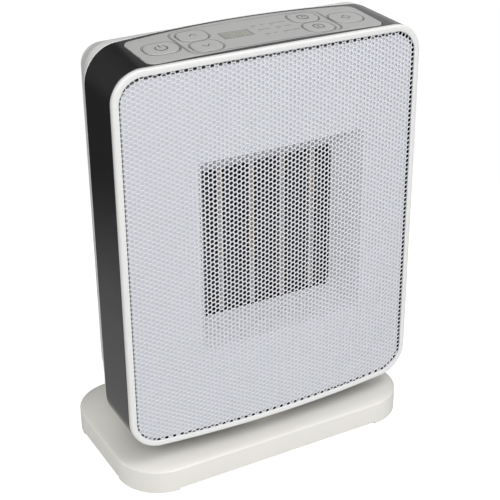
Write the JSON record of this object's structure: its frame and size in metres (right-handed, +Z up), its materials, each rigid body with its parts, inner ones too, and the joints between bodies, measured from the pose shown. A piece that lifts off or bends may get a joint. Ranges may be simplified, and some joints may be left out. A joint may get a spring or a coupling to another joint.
{
  "type": "ceramic space heater",
  "caption": "Free-standing ceramic fan heater: bowed rectangular head with a perforated front and top keys, swivelling on a low rounded base.",
  "frame": {"origin": "middle of the bounding box at floor level, on the swivel axis", "axes": "+Z up, the grille faces -Y, +X to the right seen from the front"},
  "size_m": [0.238, 0.134, 0.3232],
  "materials": {
    "base_white": "warm white moulding, gloss",
    "frame_white": "white moulding, satin gloss",
    "grille_white": "perforated steel sheet, cool white paint",
    "duct_white": "white moulding",
    "casing_black": "black moulding, gloss",
    "shell_grey": "light grey moulding, fine texture",
    "panel_grey": "mid grey overlay, satin",
    "key_grey": "mid grey keys, satin",
    "lens": "smoked display window",
    "dark_plastic": "dark heat-resistant moulding",
    "rubber": "soft feet",
    "steel": "plated steel",
    "acetal": "natural acetal",
    "heater_bar": "pressed aluminium tube",
    "fins": "corrugated fin, heat-darkened",
    "circuit_board": "solder-masked board"
  },
  "bodies": {
    "base": {"base_cover": "base_white", "base_plate": "shell_grey", "glide_ring": "acetal", "cord_inlet": "shell_grey", "swivel_motor": "steel", "foot_pad_front_left": "rubber", "foot_pad_front_right": "rubber", "foot_pad_rear_left": "rubber", "foot_pad_rear_right": "rubber", "base_screw_front_left": "steel", "base_screw_front_right": "steel", "base_screw_rear_left": "steel", "base_screw_rear_right": "steel"},
    "head": {"swivel_gear": "acetal", "swivel_hub": "shell_grey", "hub_retainer": "steel", "front_frame": "frame_white", "front_grille": "grille_white", "air_duct": "duct_white", "casing": "casing_black", "rear_shell": "shell_grey", "rear_screw_top_left": "steel", "rear_screw_top_right": "steel", "rear_screw_low_left": "steel", "rear_screw_low_right": "steel", "ptc_frame": "dark_plastic", "ptc_bar_1": "heater_bar", "ptc_bar_2": "heater_bar", "ptc_bar_3": "heater_bar", "ptc_bar_4": "heater_bar", "fin_pack_1": "fins", "fin_pack_2": "fins", "fin_pack_3": "fins", "fin_pack_4": "fins", "fin_pack_5": "fins", "thermal_cutout": "steel", "fan_shroud": "dark_plastic", "fan_motor": "steel", "power_board": "circuit_board", "tilt_switch": "dark_plastic", "control_panel": "panel_grey", "display_lens": "lens", "display_module": "dark_plastic", "control_board": "circuit_board"},
    "pinion": {"swivel_pinion": "acetal"},
    "fan": {"fan_impeller": "dark_plastic", "fan_shaft": "steel"},
    "filter": {"filter_cover": "shell_grey", "filter_mesh": "dark_plastic"},
    "pendulum": {"tilt_pendulum": "steel"},
    "key_power_cap": {"key_power": "key_grey"},
    "key_up_cap": {"key_up": "key_grey"},
    "key_down_cap": {"key_down": "key_grey"},
    "key_timer_cap": {"key_timer": "key_grey"},
    "key_mode_cap": {"key_mode": "key_grey"},
    "key_swing_cap": {"key_swing": "key_grey"}
  },
  "joints": [
    {"name": "swivel", "type": "hinge", "parent": "base", "child": "head", "pos_m": [0, 0, 0.0325], "axis": [0, 0, 1], "range_deg": [-35, 35]},
    {"name": "pinion_spin", "type": "hinge", "parent": "base", "child": "pinion", "pos_m": [0.034, 0, 0.0215], "axis": [0, 0, 1], "range_deg": [-165, 165]},
    {"name": "fan_spin", "type": "hinge", "parent": "head", "child": "fan", "pos_m": [0, 0.0035, 0.1813], "axis": [0, 1, 0], "continuous": true},
    {"name": "filter_slide", "type": "slide", "parent": "head", "child": "filter", "axis": [0, 1, 0], "range_m": [0, 0.03]},
    {"name": "tilt_swing", "type": "hinge", "parent": "head", "child": "pendulum", "pos_m": [0.044, -0.028, 0.0695], "axis": [0, 1, 0], "range_deg": [-18, 18]},
    {"name": "key_power_press", "type": "slide", "parent": "head", "child": "key_power_cap", "axis": [0, 0, -1], "range_m": [0, 0.0007], "stiffness_N_per_m": 400},
    {"name": "key_up_press", "type": "slide", "parent": "head", "child": "key_up_cap", "axis": [0, 0, -1], "range_m": [0, 0.0007], "stiffness_N_per_m": 400},
    {"name": "key_down_press", "type": "slide", "parent": "head", "child": "key_down_cap", "axis": [0, 0, -1], "range_m": [0, 0.0007], "stiffness_N_per_m": 400},
    {"name": "key_timer_press", "type": "slide", "parent": "head", "child": "key_timer_cap", "axis": [0, 0, -1], "range_m": [0, 0.0007], "stiffness_N_per_m": 400},
    {"name": "key_mode_press", "type": "slide", "parent": "head", "child": "key_mode_cap", "axis": [0, 0, -1], "range_m": [0, 0.0007], "stiffness_N_per_m": 400},
    {"name": "key_swing_press", "type": "slide", "parent": "head", "child": "key_swing_cap", "axis": [0, 0, -1], "range_m": [0, 0.0007], "stiffness_N_per_m": 400}
  ],
  "couplings": [
    {"joint": "pinion_spin", "follows": "swivel", "ratio": -4.6667}
  ]
}
